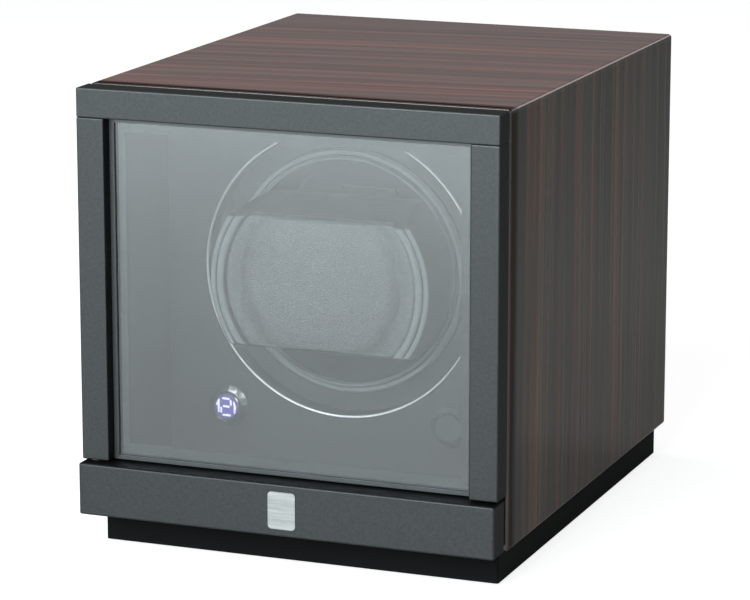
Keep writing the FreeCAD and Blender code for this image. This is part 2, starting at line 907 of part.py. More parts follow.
def web_recess(name, front, back):
    """The ring-shaped recess between the gear's hub and its rim."""
    return cut(
        name,
        rod(f"{name}_outer", gear_root - d.gear_rim, ZERO, (front, back), axis_height),
        rod(f"{name}_inner", d.gear_hub_radius, ZERO, (front, back), axis_height),
    )


node("drive_gear", cut(
    "drive_gear",
    gear_solid,
    gear_bore,
    web_recess("front_recess", gear_front, gear_front + web_inset),
    web_recess("back_recess", gear_back - web_inset, gear_back),
))
pinion_front = gear_front - d.pinion_overlap
pinion_back = gear_back + d.pinion_overlap
bracket_front = gear_back + d.bracket_gap
bracket_back = bracket_front + d.bracket
node("motor_pinion", cut(
    "motor_pinion",
    gear_blank("pinion_solid", pinion_teeth, pinion_turn, pinion_front, pinion_back, ZERO, output_z),
    rod("pinion_bore", d.output_radius + d.press_play, ZERO, (pinion_front, pinion_back), output_z),
))
output_end = bracket_back + d.output_seat
node("output_shaft", rod("output_rod", d.output_radius, ZERO, (pinion_front, output_end), output_z))

# Motor with its gearbox, hung on a bracket plate that stands off the bulkhead on four posts
post_spots = [
    (x, output_z + z) for x in mirrored_pair(d.post_spread_x) for z in mirrored_pair(d.post_spread_z)
]
screw_hole = d.screw_radius + d.hole_clearance
bracket_holes = [
    rod(f"bracket_hole{i}", screw_hole, x, (bracket_front, bracket_back), z)
    for i, (x, z) in enumerate(post_spots)
]
node("motor_bracket", cut(
    "motor_bracket",
    block(
        "bracket_plate",
        mirrored_pair(d.bracket_half_width),
        (bracket_front, bracket_back),
        (output_z - d.bracket_half_height, output_z + d.bracket_half_height),
    ),
    rod(
        "output_hole", d.output_radius + d.output_clearance, ZERO, (bracket_front, bracket_back), output_z
    ),
    *bracket_holes,
))
post_thread = bracket_front - d.screw_bite
grouped("bracket_posts", [
    cut(
        f"bracket_post{i}",
        rod(f"post_blank{i}", d.post_radius, x, (bulkhead_back, bracket_front), z),
        rod(f"post_bore{i}", screw_hole, x, (post_thread, bracket_front), z),
    )
    for i, (x, z) in enumerate(post_spots)
])
grouped("bracket_screws", [
    joined(
        f"bracket_screw{i}",
        rod(f"bracket_shank{i}", d.screw_radius, x, (post_thread, bracket_back), z),
        rod(f"bracket_head{i}", d.screw_head_radius, x, (bracket_back, bracket_back + d.screw_head), z),
    )
    for i, (x, z) in enumerate(post_spots)
])
gearbox_back = bracket_back + d.gearbox_length
motor_back = back_front - d.motor_clearance - d.motor_cap
node("motor_gearbox", cut(
    "motor_gearbox",
    rod("gearbox_drum", d.gearbox_radius, ZERO, (bracket_back, gearbox_back), output_z),
    rod("output_seat_bore", d.output_radius + d.shaft_play, ZERO, (bracket_back, output_end), output_z),
))
node("motor", joined(
    "motor",
    rod("motor_can", d.motor_radius, ZERO, (gearbox_back, motor_back), output_z),
    rod("motor_end_cap", d.motor_cap_radius, ZERO, (motor_back, motor_back + d.motor_cap), output_z),
))

# Watch holder: a core with a rolled rim, barrelled above and below where the strap passes round it
roll_middle = d.roll_reach - d.roll_radius
roll_depth = case_front + d.holder_front + d.roll_radius
bead_reach = d.core_radius + d.bead_radius
core_back = cup_bottom - d.strap_room
pad_seat = case_front + d.pad_seat


def front_roll(name, middle, radius):
    """A round roll along the core's front edge."""
    roll = doc.addObject("Part::Torus", name)
    roll.Placement = Placement(Vector(), Rotation(Vector(1, 0, 0), -90))
    roll.setExpression("Radius1", middle.text)
    roll.setExpression("Radius2", radius.text)
    place(roll, ZERO, roll_depth, axis_height)
    return roll


rim_roll = front_roll("rim_roll", roll_middle, d.roll_radius)
rim_bead = front_roll("rim_bead", d.core_radius, d.bead_radius)
core_drum = rod("core_drum", d.core_radius, ZERO, (roll_depth, core_back), axis_height)
pad_pocket = rod("pad_pocket", roll_middle - d.roll_radius, ZERO, (roll_depth, pad_seat), axis_height)
barrel_drop = d.barrel_radius - d.holder_half_height
barrel_top, barrel_base = (
    rod(name, d.barrel_radius, mirrored_pair(bead_reach), case_front + d.barrel_middle, axis_height + drop)
    for name, drop in (("barrel_top", -barrel_drop), ("barrel_base", barrel_drop))
)
core_blank = cut("core_blank", joined("core_joined", core_drum, rim_roll, rim_bead), pad_pocket)
core_round = overlap("core_round", core_blank, overlap("barrel", barrel_top, barrel_base))
grip_depth = (core_back - d.grip_length, core_back)
grip_height = (axis_height - d.grip_width / 2, axis_height + d.grip_width / 2)
grip_inner = d.core_radius - d.grip_recess
grip_slab = block("grip_slab", mirrored_pair(bead_reach), grip_depth, grip_height)


def grip_band(name, outer):
    """The felt's band on both ends of the core, between the recess floor and an outer radius."""
    band = cut(
        name,
        rod(f"{name}_outer", outer, ZERO, grip_depth, axis_height),
        rod(f"{name}_inner", grip_inner, ZERO, grip_depth, axis_height),
    )
    return overlap(f"{name}_slice", band, grip_slab)


node("holder_core", cut("holder_core", core_round, grip_band("grip_recess", bead_reach)))
node("grip_pads", grip_band("grip_felt", d.cup_bore - d.grip_gap))

# Front pad: flat on the core, swelling to a seam line and crowned towards the door
pad_radius = roll_middle - d.roll_radius - d.pad_clearance


def pad_section(share_round, share_height, depth):
    """One outline of the pad: two round ends and two long edges drawn in at the middle."""
    radius = pad_radius.value * share_round
    half_height = d.pad_half_height.value * share_height
    draw_in = d.pad_draw_in.value * share_height
    half_length = math.sqrt(radius ** 2 - half_height ** 2)

    def at(x, z):
        return Vector(x, depth, z)

    edges = [
        Part.Arc(at(-half_length, half_height), at(0, half_height - draw_in), at(half_length, half_height)),
        Part.Arc(at(half_length, half_height), at(radius, 0), at(half_length, -half_height)),
        Part.Arc(at(half_length, -half_height), at(0, draw_in - half_height), at(-half_length, -half_height)),
        Part.Arc(at(-half_length, -half_height), at(-radius, 0), at(-half_length, half_height)),
    ]
    return Part.Wire([edge.toShape() for edge in edges])


pad_rise = (d.pad_seat - d.holder_front).value
pad_levels = [(0.985, 0.975, 0), (1, 1, 0.25), (0.95, 0.94, 0.62), (0.82, 0.78, 0.88), (0.56, 0.5, 1)]
pad = doc.addObject("Part::Feature", "pad_leather")
pad.Shape = Part.makeLoft(
    [pad_section(share_round, share_height, -rise * pad_rise) for share_round, share_height, rise in pad_levels],
    True,
    False,
)
place(pad, ZERO, pad_seat, axis_height)
node("front_pad", pad)

# Tension bow: a bent spring strip on a stem behind the core, which keeps the strap taut
bow_tip = core_back + d.bow_standoff
bow_crest = bow_tip + d.bow_rise
bow_radius = (d.bow_half_height * d.bow_half_height + d.bow_rise * d.bow_rise) / (d.bow_rise * 2)
bow_centre = bow_crest - bow_radius
bow_sides = mirrored_pair(d.bow_half_width)
bow_strip = cut(
    "bow_strip",
    rod("bow_outer", bow_radius + d.bow_thickness, bow_sides, bow_centre, axis_height),
    rod("bow_inner", bow_radius, bow_sides, bow_centre, axis_height),
)
bow_reach = block(
    "bow_reach",
    bow_sides,
    (bow_tip, bow_crest + d.bow_thickness),
    (axis_height - d.bow_half_height, axis_height + d.bow_half_height),
)
bow_stem = block(
    "bow_stem",
    mirrored_pair(d.bow_stem_half_width),
    (core_back, bow_crest),
    (axis_height - d.bow_stem_half_height, axis_height + d.bow_stem_half_height),
)
bow_foot = overlap(
    "bow_foot",
    bow_stem,
    rod("stem_front", bow_radius + d.bow_thickness / 2, bow_sides, bow_centre, axis_height),
)
node("tension_bow", joined("tension_bow", overlap("bow_arc", bow_strip, bow_reach), bow_foot))

# Buttons: chromed caps guided in the baffle, each with a round window in its end
button_front = baffle_front - d.button_proud
flange_front = baffle_back + d.flange_gap
flange_back = flange_front + d.button_flange
window_back = button_front + d.window_thickness
button_names = (("display_button", "display_window"), ("light_button", "light_window"))
for (cap_name, window_name), x in zip(button_names, button_x):
    node(cap_name, turned(f"{cap_name}_metal", [
        (ZERO, window_back),
        (d.window_radius, window_back),
        (d.window_radius, button_front),
        (d.button_radius - d.button_round, button_front),
        (d.button_radius, button_front + d.button_round),
        (d.button_radius, flange_front),
        (d.button_flange_radius, flange_front),
        (d.button_flange_radius, flange_back),
        (ZERO, flange_back),
    ], x, button_z))
    window_rod = rod(
        f"{window_name}_disc", d.window_radius - d.press_play, x, (button_front, window_back), button_z
    )
    node(window_name, window_rod)

# Switches behind the buttons, on a board that stands on posts behind the baffle
switch_front = flange_back + d.switch_gap
switch_back = switch_front + d.switch_length
button_board_reach = button_spread + d.button_board_margin
grouped("button_switches", [
    block(
        f"switch{i}",
        (x - d.switch_half_width, x + d.switch_half_width),
        (switch_front, switch_back),
        (button_z - d.switch_half_width, button_z + d.switch_half_width),
    )
    for i, x in enumerate(button_x)
])
node("button_board", block(
    "button_strip",
    mirrored_pair(button_board_reach),
    (switch_back, switch_back + d.button_board),
    (button_z - d.button_board_half_height, button_z + d.button_board_half_height),
))
grouped("button_board_posts", [
    rod(f"button_post{i}", d.button_post_radius, x, (baffle_back, switch_back), button_z)
    for i, x in enumerate(mirrored_pair(button_spread + d.button_post_offset))
])

# Control board on the chamber floor behind the bulkhead
control_base = floor_inside + d.control_lift
control_top = control_base + d.control_board
control_front = bulkhead_back + d.control_front_margin
control_back = back_front - d.control_back_margin
control_middle = (control_front + control_back) / 2
node("control_board", block(
    "control_strip",
    mirrored_pair(d.control_half_width),
    (control_front, control_back),
    (control_base, control_top),
))
grouped("control_board_posts", [
    rod(f"control_post{i}", d.control_post_radius, x, y, (floor_inside, control_base))
    for i, (x, y) in enumerate(
        (x, y)
        for x in mirrored_pair(d.control_half_width - d.control_post_inset)
        for y in (control_front + d.control_post_inset, control_back - d.control_post_inset)
    )
])
chip_half = d.chip_side / 2
part_x = d.control_half_width / 2
grouped("control_components", [
    block(
        "control_chip",
        mirrored_pair(chip_half),
        (control_middle - chip_half, control_middle + chip_half),
        (control_top, control_top + d.chip_height),
    ),
    rod(
        "control_capacitor",
        d.capacitor_radius,
        -part_x,
        control_middle,
        (control_top, control_top + d.capacitor_height),
    ),
    block(
        "control_header",
        (part_x, part_x + d.header_width),
        (control_back - d.header_depth, control_back),
        (control_top, control_top + d.header_height),
    ),
])

# Every piece has to be sound before any is written
doc.recompute()
for item in doc.Objects:
    if "Invalid" in item.State or "Error" in item.State:
        raise RuntimeError(f"{item.Label} failed: {item.State}")
for name, solid in nodes.items():
    if solid.Shape.isNull() or not solid.Shape.isValid() or not solid.Shape.Solids:
        raise RuntimeError(f"{name} is not a sound solid")

os.makedirs("parts", exist_ok=True)
for name, solid in nodes.items():
    solid.Shape.exportStep(f"parts/{name}.step")
print(f"{len(nodes)} nodes written")
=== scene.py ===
import math

import bpy
import numpy as np
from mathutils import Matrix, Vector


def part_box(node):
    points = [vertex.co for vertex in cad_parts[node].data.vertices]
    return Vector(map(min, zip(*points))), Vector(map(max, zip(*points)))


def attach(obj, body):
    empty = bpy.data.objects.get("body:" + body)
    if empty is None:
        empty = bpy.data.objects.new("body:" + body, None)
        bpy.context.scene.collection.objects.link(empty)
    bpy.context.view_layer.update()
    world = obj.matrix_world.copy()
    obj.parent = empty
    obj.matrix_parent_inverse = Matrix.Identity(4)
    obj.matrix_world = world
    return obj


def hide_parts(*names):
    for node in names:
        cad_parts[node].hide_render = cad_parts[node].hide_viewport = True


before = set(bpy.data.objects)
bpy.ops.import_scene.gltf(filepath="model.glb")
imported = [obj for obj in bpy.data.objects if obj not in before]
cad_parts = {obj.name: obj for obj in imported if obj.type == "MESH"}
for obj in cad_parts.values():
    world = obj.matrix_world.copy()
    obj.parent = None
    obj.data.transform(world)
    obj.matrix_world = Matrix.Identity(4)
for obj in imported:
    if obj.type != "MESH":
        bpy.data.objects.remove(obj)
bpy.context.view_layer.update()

# Case: four boards mitred into a box and glued, faced with striped dark ebony veneer whose streaks
# run over the top and down the sides at the same depth, under rubbed-out clear gloss lacquer.
MM = 0.001


def new_finish(name):
    """A finish with its node tree and its surface shader."""
    finish = bpy.data.materials.new(name)
    finish.use_nodes = True
    return finish, finish.node_tree, finish.node_tree.nodes["Principled BSDF"]


def settle(surface, **plain):
    """Sets a surface's own constants, each named with underscores in place of spaces."""
    for key, item in plain.items():
        surface.inputs[key.replace("_", " ")].default_value = item


def feed(tree, socket, item):
    """Links an output to a socket, or sets the socket's own value."""
    if isinstance(item, bpy.types.NodeSocket):
        tree.links.new(item, socket)
    elif isinstance(item, tuple) and len(item) == 3 and socket.type == "RGBA":
        socket.default_value = (*item, 1)
    else:
        socket.default_value = item


def add(tree, kind, sockets=None, **settings):
    """A new node with its properties and its input sockets given by name or by number."""
    node = tree.nodes.new(f"ShaderNode{kind}")
    for key, item in settings.items():
        setattr(node, key, item)
    for key, item in (sockets or {}).items():
        feed(tree, node.inputs[key], item)
    return node


def own_place(tree, stretch=(1, 1, 1), shift=(0, 0, 0)):
    """The piece's own coordinates, stretched so that a pattern runs along the axes with small factors."""
    spot = add(tree, "TexCoord").outputs["Object"]
    return add(tree, "Mapping", {"Vector": spot, "Scale": stretch, "Location": shift}).outputs[0]


def own_axes(tree):
    """The piece's own coordinates one by one, as X, Y and Z."""
    return add(tree, "SeparateXYZ", {0: own_place(tree)}).outputs


def cloud(tree, spot, scale, detail=3):
    """Noise of a given number of lumps per metre."""
    return add(tree, "TexNoise", {"Vector": spot, "Scale": scale, "Detail": detail}).outputs[0]


def sums(tree, operation, first, second, third=None):
    """One step of arithmetic on two values; a product can have a third value added to it."""
    sockets = {0: first, 1: second}
    if third is not None:
        sockets[2] = third
    return add(tree, "Math", sockets, operation=operation).outputs[0]


def between(tree, mask, low, high, start=0, end=1, curve="LINEAR"):
    """A mask spread from start..end to low..high."""
    sockets = {0: mask, 1: start, 2: end, 3: low, 4: high}
    return add(tree, "MapRange", sockets, interpolation_type=curve).outputs[0]


def tint(tree, mask, first, second):
    """The first colour where the mask is 0, the second where it is 1."""
    return add(tree, "Mix", {0: mask, 6: first, 7: second}, data_type="RGBA").outputs[2]


def relief(tree, height, depth):
    """Surface normals of a pattern that stands up by a depth in metres."""
    return add(tree, "Bump", {"Height": height, "Distance": depth, "Strength": 1}).outputs[0]


def coat(finish, *names):
    """Puts a finish on solid pieces by name."""
    for name in names:
        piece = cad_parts[name]
        piece.data.materials.clear()
        piece.data.materials.append(finish)


case_low, case_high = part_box("right_panel")
case_front, case_back = case_low[1], case_high[1]
STREAKS = ((-79, 0.7), (-71, 0.75), (-63.5, 1), (-50, 0.3), (-37, 0.75), (-15, 0.5), (6.5, 0.5), (36, 1),
           (46.5, 0.7), (75, 0.4))
# Near-black colour of the painted shade along the case's front edge.
PAINTED_SHADE_COLOUR = (0.008, 0.005, 0.004)


def streak_mask(tree, depth):
    """Each streak's strength at its depth in millimetres: steep on its front side and fading behind."""
    ahead, peak, behind, reach = -2.8, -0.3, 3.2, 120
    ramp = add(tree, "ValToRGB", {0: between(tree, depth, 0, 1, -reach * MM, reach * MM)})
    stops = ramp.color_ramp.elements
    stops[0].color = stops[1].color = (0, 0, 0, 1)
    for middle, weight in STREAKS:
        for offset, share in ((ahead, 0), (peak, weight), (behind, 0)):
            stops.new((middle + offset + reach) / (2 * reach)).color = (share, share, share, 1)
    return ramp.outputs[0]


def lacquer(tree, surface, spot):
    """Gloss that is rubbed out unevenly, bends over before the front edge by a square law, and is bright
    on a narrow band along each edge of the case."""
    wide, narrow, thin = 1.6 * MM, 0.9 * MM, 1.2 * MM
    outward = sums(tree, "ABSOLUTE", spot["X"], 0)
    side, top = (between(tree, reach, 0, 1, limit - wide, limit - narrow)
                 for reach, limit in ((outward, case_high[0]), (spot["Z"], case_high[2])))
    back = between(tree, spot["Y"], 0, 1.2, case_back - wide, case_back)
    low = between(tree, spot["Z"], 1.2, 0, case_low[2], case_low[2] + thin)
    front = between(tree, spot["Y"], 1, 0, case_front, case_front + thin)
    arris = sums(tree, "MAXIMUM", sums(tree, "MULTIPLY", side, top), back)
    arris = sums(tree, "MULTIPLY", sums(tree, "MAXIMUM", arris, low), 0.4)
    feed(tree, surface.inputs["Coat Weight"], sums(tree, "MAXIMUM", arris, front))
    rubbed = cloud(tree, own_place(tree), 35, 4)
    feed(tree, surface.inputs["Roughness"], between(tree, rubbed, 0.06, 0.13, 0.3, 0.7))
    edge = between(tree, spot["Y"], 1, 0, case_front, case_front + 9 * MM)
    fine = sums(tree, "MULTIPLY", rubbed, 0.005)
    eased = sums(tree, "MULTIPLY_ADD", edge, sums(tree, "MULTIPLY", edge, -1), fine)
    feed(tree, surface.inputs["Normal"], relief(tree, eased, 0.0026))
    settle(surface, IOR=1.28, Coat_IOR=2, Coat_Roughness=0.12)


def ebony(name, ground, pore, streak, lean, spread, shade, shade_depth):
    """Veneer: depth from the front, leaning and shifting along the grain, picks the streak, band and line."""
    finish, tree, surface = new_finish(name)
    spot = own_axes(tree)
    drift = between(tree, cloud(tree, own_place(tree), 8, 2), -0.004, 0.004)
    depth = sums(tree, "ADD", spot["Y"], sums(tree, "MULTIPLY_ADD", spot["X"], lean, drift))
    along = add(tree, "CombineXYZ", {"X": spot["X"], "Y": depth, "Z": spot["Z"]}).outputs[0]

    def run(length, width, detail, low, high):
        """Noise drawn out along the grain, spread from its usual range to 0..1."""
        stretch = (1 / length, 1 / width / spread, 1 / length)
        drawn_out = add(tree, "Mapping", {"Vector": along, "Scale": stretch}).outputs[0]
        return between(tree, cloud(tree, drawn_out, 1, detail), 0, 1, low, high)

    lines, bands = run(0.35, 0.003, 3, 0.4, 0.6), run(0.6, 0.02, 2, 0.4, 0.62)
    pores = run(0.7, 0.0021, 2, 0.42, 0.6)
    wood = tint(tree, lines, pore, ground)
    wood = tint(tree, between(tree, bands, 0, 0.25), wood, pore)
    wood = tint(tree, between(tree, pores, 0, 0.7), wood, pore)
    hairs, breaks = run(0.2, 0.0016, 2, 0.35, 0.6), run(0.09, 0.03, 1, 0.32, 0.58)
    red = sums(tree, "MULTIPLY", streak_mask(tree, depth), between(tree, hairs, 0.45, 1))
    red = sums(tree, "MULTIPLY", red, between(tree, breaks, 0.35, 1))
    threads = between(tree, run(0.3, 0.005, 2, 0.58, 0.74), 0, 0.5)
    wood = tint(tree, sums(tree, "MAXIMUM", red, threads), wood, streak)
    # Painted shade: the veneer's colour darkens towards the front edge, by the share shade over shade_depth,
    # for the darker reflection along the front.
    painted_front_shade = between(tree, spot["Y"], shade, 0, case_front + 4 * MM, case_front + shade_depth)
    feed(tree, surface.inputs["Base Color"], tint(tree, painted_front_shade, wood, PAINTED_SHADE_COLOUR))
    lacquer(tree, surface, spot)
    return finish


# Painted light: the top and bottom boards take a paler, redder copy of the side veneer's colours, for the
# overhead light that the top reflects; the sides keep the darker copy.
SIDE_WOOD = (0.116, 0.09, 0.06), (0.03, 0.0245, 0.0145), (0.24, 0.074, 0.039)
TOP_WOOD = (0.205, 0.106, 0.092), (0.085, 0.039, 0.034), (0.4, 0.105, 0.078)
coat(ebony("side veneer", *SIDE_WOOD, lean=0, spread=1, shade=0.7, shade_depth=0.03),
     "left_panel", "right_panel")
coat(ebony("top veneer", *TOP_WOOD, lean=-0.11, spread=0.8, shade=0.95, shade_depth=0.0085),
     "top_panel", "bottom_panel")

# Plinth, back, cleats and bulkhead: fibreboard sprayed matt black, with the fine tooth of sprayed paint.
# The plinth is screwed up under the case, and felt pads are stuck below it.


def new_effect(name, numbers, results):
    """A shared effect: a node group that takes a place and some numbers and gives masks or heights."""
    tree = bpy.data.node_groups.new(name, "ShaderNodeTree")
    tree.interface.new_socket("Vector", in_out="INPUT", socket_type="NodeSocketVector")
    for direction, sockets in (("INPUT", numbers), ("OUTPUT", results)):
        for socket in sockets:
            tree.interface.new_socket(socket, in_out=direction, socket_type="NodeSocketFloat")
    return tree, tree.nodes.new("NodeGroupInput").outputs, tree.nodes.new("NodeGroupOutput").inputs


def mottle_effect():
    """Two sizes of noise added together: a mask for patches and a height for the fine tooth."""
    tree, given, result = new_effect("mottle", ("Patch", "Tooth"), ("Mask", "Height"))
    patch = cloud(tree, given["Vector"], given["Patch"], 4)
    tooth = cloud(tree, given["Vector"], given["Tooth"], 2)
    mixed = sums(tree, "MULTIPLY_ADD", tooth, 0.5, sums(tree, "MULTIPLY", patch, 0.5))
    feed(tree, result["Mask"], between(tree, mixed, 0, 1, 0.35, 0.65))
    feed(tree, result["Height"], tooth)
    return tree


MOTTLE = mottle_effect()


def mottled(name, dark, light, rough, patch, tooth, depth, metal=0.0, stretch=(1, 1, 1), **plain):
    """A finish of two near colours in patches, with its roughness and a fine tooth from the same noise."""
    finish, tree, surface = new_finish(name)
    sockets = {"Vector": own_place(tree, stretch), "Patch": patch, "Tooth": tooth}
    effect = add(tree, "Group", sockets, node_tree=MOTTLE).outputs
    feed(tree, surface.inputs["Base Color"], tint(tree, effect["Mask"], dark, light))
    feed(tree, surface.inputs["Roughness"], between(tree, effect["Mask"], *rough))
    feed(tree, surface.inputs["Normal"], relief(tree, effect["Height"], depth))
    settle(surface, Metallic=metal, **plain)
    return finish


sprayed = mottled("sprayed black", (0.003, 0.0032, 0.0032), (0.006, 0.0062, 0.0062), rough=(0.6, 0.7),
                  patch=25, tooth=2600, depth=0.00004, Specular_IOR_Level=0.1)
felt = mottled("pressed felt", (0.008, 0.008, 0.009), (0.025, 0.025, 0.027), rough=(0.9, 1.0),
               patch=220, tooth=3500, depth=0.0003, Sheen_Weight=0.4)
coat(sprayed, "plinth", "back_panel", "back_cleats", "bulkhead")
coat(felt, "feet")

# Back screws: pan-head steel screws with a cross recess, driven through the back into the cleats.
# Each head is turned, its cross punched in, and the whole screw blackened.
SCREWS = ((-74, 46.5, 0.3), (74, 46.5, 1.1), (-74, 160, 0.75), (74, 160, 0.1))


def drawn(name, dark, light, rough, stretch):
    """A metal with fine lines left by drawing, turning or brushing it, along the axes with small factors."""
    return mottled(name, dark, light, rough, patch=1, tooth=9, depth=0.00002, metal=1.0, stretch=stretch)


def mesh_piece(name, points, faces, finish, body):
    """Puts a computed surface into the scene on a body, with its finish."""
    mesh = bpy.data.meshes.new(name)
    mesh.from_pydata(points.reshape(-1, 3), [], faces)
    mesh.polygons.foreach_set("use_smooth", np.ones(len(mesh.polygons), dtype=bool))
    mesh.materials.append(finish)
    mesh.validate()
    piece = bpy.data.objects.new(name, mesh)
    bpy.context.scene.collection.objects.link(piece)
    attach(piece, body)
    return piece


def grid_faces(rows, columns, first=0, closed=False):
    """Quads of a grid whose columns close into a ring, and on request its rows too."""
    row, column = np.meshgrid(np.arange(rows if closed else rows - 1), np.arange(columns), indexing="ij")
    after, below = (column + 1) % columns, (row + 1) % rows
    quads = np.stack([row * columns + column, row * columns + after, below * columns + after,
                      below * columns + column], -1)
    return (quads.reshape(-1, 4) + first).tolist()


def ring_ends(rows, columns, first=0):
    """The two faces that close the first and the last ring of a grid."""
    ring = np.arange(columns) + first
    return [ring[::-1].tolist(), (ring + (rows - 1) * columns).tolist()]


def turned(x, z, radius, depth, angle):
    """A profile's radius and depth, turned about the front-to-back axis through x and z."""
    return np.stack([x + radius * np.cos(angle), depth + 0 * angle, z + radius * np.sin(angle)], -1) * MM


def screw_head(x, z, back, turn):
    """A ring grid: from the rim inwards the height is a flat dome less a tapering cross-shaped recess."""
    head_radius, head_height, roundness = 3.2, 2.0, 0.62
    recess_depth, half_arm, arm_reach = 1.1, 0.42, 1.75
    share = np.concatenate([[1], np.linspace(1, 0.02, 44)])[:, None]
    angle = np.linspace(2 * np.pi, 0, 96, endpoint=False)
    radius = head_radius * share
    across, along = np.abs(radius * np.cos(angle - turn)), np.abs(radius * np.sin(angle - turn))
    dome = head_height * np.sqrt(np.clip(1 - roundness * share ** 2, 0, 1))
    arm, reach = np.minimum(across, along), np.maximum(across, along)
    recess = recess_depth / (1 + np.exp((arm - half_arm) * 16)) / (1 + np.exp((reach - arm_reach) * 9))
    height = dome - recess
    height[0] = 0
    return turned(x, z, radius, back + height, angle)


back_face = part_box("back_panel")[1][1] / MM
heads = np.stack([screw_head(x, z, back_face, turn) for x, z, turn in SCREWS])
count, rings, steps = heads.shape[:3]
screw_faces = []
for first in range(0, count * rings * steps, rings * steps):
    screw_faces += grid_faces(rings, steps, first) + ring_ends(rings, steps, first)
blackened = drawn("blackened steel", (0.04, 0.04, 0.042), (0.09, 0.09, 0.092), rough=(0.3, 0.45),
                  stretch=(400, 40, 400))
screws = mesh_piece("back_screw_heads", heads, screw_faces, blackened, "case")
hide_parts("back_screws")

# Power inlet: a moulded barrel socket with a centre pin, put through the back panel from behind.
# A steel nut inside the case holds it.
moulded = mottled("moulded black", (0.012, 0.012, 0.013), (0.02, 0.02, 0.022), rough=(0.35, 0.5),
                  patch=60, tooth=1800, depth=0.00003)
steel = drawn("plain steel", (0.42, 0.42, 0.43), (0.62, 0.62, 0.62), rough=(0.22, 0.38),
              stretch=(60, 500, 60))
coat(moulded, "power_inlet")
coat(steel, "power_inlet_nut")

# Door frame and fascia: aluminium bars blasted and anodised anthracite, butted at the corners on dowels.
# The door hangs on steel pivots with an acetal washer and is held shut by magnets. The fascia below it
# stands off the case on moulded spacers and carries a satin steel plate.


def anodised(name, dark, light, painted_shade=None):
    """Blasted and anodised metal, and on request painted shade: near black where a distance from the middle
    or the floor passes two limits, on the faces that look into a gap."""
    finish = mottled(name, dark, light, rough=(0.42, 0.5), patch=900, tooth=3000, depth=0.000008, metal=0.92,
                     Specular_Tint=(0.4, 0.4, 0.4, 1))
    if painted_shade:
        axis, start, end = painted_shade
        tree = finish.node_tree
        shown = tree.nodes["Principled BSDF"].inputs["Base Color"]
        mask = between(tree, sums(tree, "ABSOLUTE", own_axes(tree)[axis], 0), 0, 1, start, end)
        # Painted shade: the base colour turns near black on the inner faces of the stiles and on the top of
        # the fascia.
        feed(tree, shown, tint(tree, mask, shown.links[0].from_socket, (0.024, 0.0245, 0.025)))
    return finish


GREY, PALE_GREY = (0.068, 0.0685, 0.069), (0.094, 0.0945, 0.095)
stile_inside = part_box("right_stile")[0][0]
fascia_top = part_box("fascia_bar")[1][2]
stile_inner_shade = ("X", stile_inside + 0.5 * MM, stile_inside + 0.1 * MM)
fascia_top_shade = ("Z", fascia_top - 0.7 * MM, fascia_top - 0.5 * MM)
coat(anodised("anthracite anodised", GREY, PALE_GREY), "door_rail")
coat(anodised("stile anodised", GREY, PALE_GREY, stile_inner_shade), "left_stile", "right_stile")
coat(anodised("fascia anodised", GREY, PALE_GREY, fascia_top_shade), "fascia_bar")
# Painted light: the slim frame takes a paler copy of the anodised finish, so that its recessed face reads as
# lit.
coat(anodised("slim frame anodised", (0.14, 0.141, 0.142), (0.17, 0.171, 0.172)), "glass_frame")
coat(drawn("satin steel plate", (0.6, 0.6, 0.58), (0.82, 0.82, 0.8), rough=(0.28, 0.42),
           stretch=(30, 30, 900)),
     "fascia_plate")
acetal = mottled("white acetal", (0.72, 0.71, 0.67), (0.82, 0.81, 0.77), rough=(0.3, 0.42),
                 patch=60, tooth=900, depth=0.00002)
coat(acetal, "pivot_washer")
coat(steel, "hinge_arm", "pivot_pin", "corner_dowels", "strike_plates", "door_magnets")
coat(moulded, "fascia_spacers")

# Glazing: a float-glass pane, held in the slim frame from behind by a soft rubber gasket frame.
# The pane is thick and polished, and mirrors a good part of what stands in front of it.
clear_glass, tree, surface = new_finish("door glass")
wiped = cloud(tree, own_place(tree), 18, 4)
feed(tree, surface.inputs["Base Color"], tint(tree, wiped, (0.955, 0.975, 0.972), (0.975, 0.985, 0.984)))
settle(surface, Transmission_Weight=1, Roughness=0, IOR=2.4)
lets_light_in = add(tree, "MixShader", {0: add(tree, "LightPath").outputs["Is Shadow Ray"],
                                        1: surface.outputs[0], 2: add(tree, "BsdfTransparent").outputs[0]})
feed(tree, tree.nodes["Material Output"].inputs["Surface"], lets_light_in.outputs[0])
rubber = mottled("soft rubber", (0.009, 0.0093, 0.0095), (0.014, 0.0143, 0.0145), rough=(0.7, 0.8),
                 patch=90, tooth=1500, depth=0.00004, Specular_IOR_Level=0.1)
coat(clear_glass, "glass_pane")
coat(rubber, "glass_gasket", "door_bumpers")

# Lining of the display chamber: thin boards and a baffle wrapped in fine-grained dark leatherette,
# slid in from the front and glued.


def grain_effect():
    """Leather grain: rounded cells with creases between them, broken up by finer wrinkles."""
    tree, given, result = new_effect("leather grain", ("Cells", "Patch"), ("Height", "Worn"))
    place, cells = given["Vector"], given["Cells"]
    bend = add(tree, "TexNoise", {"Vector": place, "Scale": cells, "Detail": 2}).outputs[1]
    shift = add(tree, "VectorMath", {0: bend, 1: (0.0006, 0.0006, 0.0006)}, operation="MULTIPLY").outputs[0]
    spot = add(tree, "VectorMath", {0: place, 1: shift}, operation="ADD").outputs[0]
    border = add(tree, "TexVoronoi", {"Vector": spot, "Scale": cells}, feature="DISTANCE_TO_EDGE")
    crease = between(tree, border.outputs["Distance"], 0, 1, 0, 0.45)
    fine = cloud(tree, spot, sums(tree, "MULTIPLY", cells, 2.5), 3)
    height = sums(tree, "MULTIPLY_ADD", fine, 0.45, sums(tree, "MULTIPLY", crease, 0.6))
    patch = between(tree, cloud(tree, place, given["Patch"], 3), 0.7, 1, 0.35, 0.65)
    feed(tree, result["Height"], height)
    feed(tree, result["Worn"], sums(tree, "MULTIPLY", patch, crease))
    return tree


GRAIN = grain_effect()


